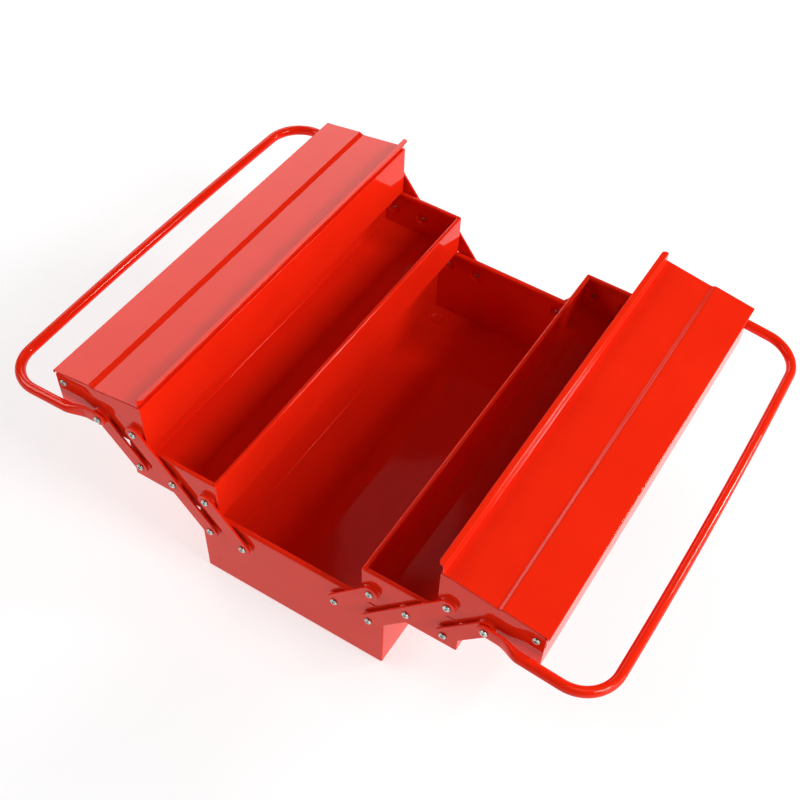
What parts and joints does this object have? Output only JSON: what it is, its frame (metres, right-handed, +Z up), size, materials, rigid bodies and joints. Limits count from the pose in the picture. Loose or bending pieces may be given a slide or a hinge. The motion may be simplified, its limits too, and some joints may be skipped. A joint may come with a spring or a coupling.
{
  "type": "cantilever toolbox",
  "caption": "Steel cantilever toolbox standing open: a deep base, trays fanned out to each side on riveted links, sloped lids over the upper trays and a folding tube handle on each side.",
  "frame": {"origin": "on the floor, at the middle of the base box", "axes": "+X towards the right-hand trays, along the way the trays fan out; +Y along the box's length, away from its front end; +Z up"},
  "size_m": [0.6273, 0.4608, 0.2146],
  "materials": {
    "red_enamel": "gloss",
    "zinc": "satin"
  },
  "bodies": {
    "base": {"base_box": "red_enamel", "rivet_base_inner_right_front": "zinc", "rivet_base_inner_right_back": "zinc", "rivet_base_outer_right_front": "zinc", "rivet_base_outer_right_back": "zinc", "rivet_base_inner_left_front": "zinc", "rivet_base_inner_left_back": "zinc", "rivet_base_outer_left_front": "zinc", "rivet_base_outer_left_back": "zinc"},
    "linkage_right": {"long_link_right_front": "red_enamel", "long_link_right_back": "red_enamel"},
    "lower_links_right": {"lower_link_right_front": "red_enamel", "lower_link_right_back": "red_enamel"},
    "mid_tray_right": {"mid_tray_right": "red_enamel", "rivet_mid_inner_right_front": "zinc", "rivet_mid_inner_right_back": "zinc", "rivet_mid_centre_right_front": "zinc", "rivet_mid_centre_right_back": "zinc", "rivet_mid_outer_right_front": "zinc", "rivet_mid_outer_right_back": "zinc"},
    "upper_links_right": {"upper_link_right_front": "red_enamel", "upper_link_right_back": "red_enamel"},
    "top_tray_right": {"top_tray_right": "red_enamel", "rivet_top_inner_right_front": "zinc", "rivet_top_inner_right_back": "zinc", "rivet_top_outer_right_front": "zinc", "rivet_top_outer_right_back": "zinc", "rivet_lid_hinge_right_front": "zinc", "rivet_lid_hinge_right_back": "zinc"},
    "lid_right": {"lid_right": "red_enamel"},
    "handle_right": {"handle_right": "red_enamel"},
    "linkage_left": {"long_link_left_front": "red_enamel", "long_link_left_back": "red_enamel"},
    "lower_links_left": {"lower_link_left_front": "red_enamel", "lower_link_left_back": "red_enamel"},
    "mid_tray_left": {"mid_tray_left": "red_enamel", "rivet_mid_inner_left_front": "zinc", "rivet_mid_inner_left_back": "zinc", "rivet_mid_centre_left_front": "zinc", "rivet_mid_centre_left_back": "zinc", "rivet_mid_outer_left_front": "zinc", "rivet_mid_outer_left_back": "zinc"},
    "upper_links_left": {"upper_link_left_front": "red_enamel", "upper_link_left_back": "red_enamel"},
    "top_tray_left": {"top_tray_left": "red_enamel", "rivet_top_inner_left_front": "zinc", "rivet_top_inner_left_back": "zinc", "rivet_top_outer_left_front": "zinc", "rivet_top_outer_left_back": "zinc", "rivet_lid_hinge_left_front": "zinc", "rivet_lid_hinge_left_back": "zinc"},
    "lid_left": {"lid_left": "red_enamel"},
    "handle_left": {"handle_left": "red_enamel"}
  },
  "joints": [
    {"name": "fan_right", "type": "hinge", "parent": "base", "child": "linkage_right", "pos_m": [0.087, 0, 0.0735], "axis": [0, -1, 0], "range_deg": [0, 76.7]},
    {"name": "mid_level_right", "type": "hinge", "parent": "linkage_right", "child": "mid_tray_right", "pos_m": [0.124, 0, 0.1192], "axis": [0, -1, 0], "range_deg": [-79, 1]},
    {"name": "lower_swing_right", "type": "hinge", "parent": "base", "child": "lower_links_right", "pos_m": [0.0505, 0, 0.0735], "axis": [0, -1, 0], "range_deg": [-1, 79]},
    {"name": "upper_swing_right", "type": "hinge", "parent": "mid_tray_right", "child": "upper_links_right", "pos_m": [0.1605, 0, 0.1192], "axis": [0, -1, 0], "range_deg": [-1, 79]},
    {"name": "top_level_right", "type": "hinge", "parent": "linkage_right", "child": "top_tray_right", "pos_m": [0.161, 0, 0.1649], "axis": [0, -1, 0], "range_deg": [-79, 1]},
    {"name": "lid_hinge_right", "type": "hinge", "parent": "top_tray_right", "child": "lid_right", "pos_m": [0.2387, 0, 0.1812], "axis": [0, 1, 0], "range_deg": [0, 88]},
    {"name": "handle_swing_right", "type": "hinge", "parent": "top_tray_right", "child": "handle_right", "pos_m": [0.1975, 0, 0.1649], "axis": [0, -1, 0], "range_deg": [-26, 118]},
    {"name": "fan_left", "type": "hinge", "parent": "base", "child": "linkage_left", "pos_m": [-0.087, 0, 0.0735], "axis": [0, 1, 0], "range_deg": [0, 76.7]},
    {"name": "mid_level_left", "type": "hinge", "parent": "linkage_left", "child": "mid_tray_left", "pos_m": [-0.124, 0, 0.1192], "axis": [0, 1, 0], "range_deg": [-79, 1]},
    {"name": "lower_swing_left", "type": "hinge", "parent": "base", "child": "lower_links_left", "pos_m": [-0.0505, 0, 0.0735], "axis": [0, 1, 0], "range_deg": [-1, 79]},
    {"name": "upper_swing_left", "type": "hinge", "parent": "mid_tray_left", "child": "upper_links_left", "pos_m": [-0.1605, 0, 0.1192], "axis": [0, 1, 0], "range_deg": [-1, 79]},
    {"name": "top_level_left", "type": "hinge", "parent": "linkage_left", "child": "top_tray_left", "pos_m": [-0.161, 0, 0.1649], "axis": [0, 1, 0], "range_deg": [-79, 1]},
    {"name": "lid_hinge_left", "type": "hinge", "parent": "top_tray_left", "child": "lid_left", "pos_m": [-0.2387, 0, 0.1812], "axis": [0, -1, 0], "range_deg": [0, 88]},
    {"name": "handle_swing_left", "type": "hinge", "parent": "top_tray_left", "child": "handle_left", "pos_m": [-0.1975, 0, 0.1649], "axis": [0, 1, 0], "range_deg": [-30, 114]}
  ],
  "couplings": [
    {"joint": "mid_level_right", "follows": "fan_right", "ratio": -1},
    {"joint": "lower_swing_right", "follows": "fan_right", "ratio": 1},
    {"joint": "upper_swing_right", "follows": "fan_right", "ratio": 1},
    {"joint": "top_level_right", "follows": "fan_right", "ratio": -1},
    {"joint": "mid_level_left", "follows": "fan_left", "ratio": -1},
    {"joint": "lower_swing_left", "follows": "fan_left", "ratio": 1},
    {"joint": "upper_swing_left", "follows": "fan_left", "ratio": 1},
    {"joint": "top_level_left", "follows": "fan_left", "ratio": -1}
  ]
}
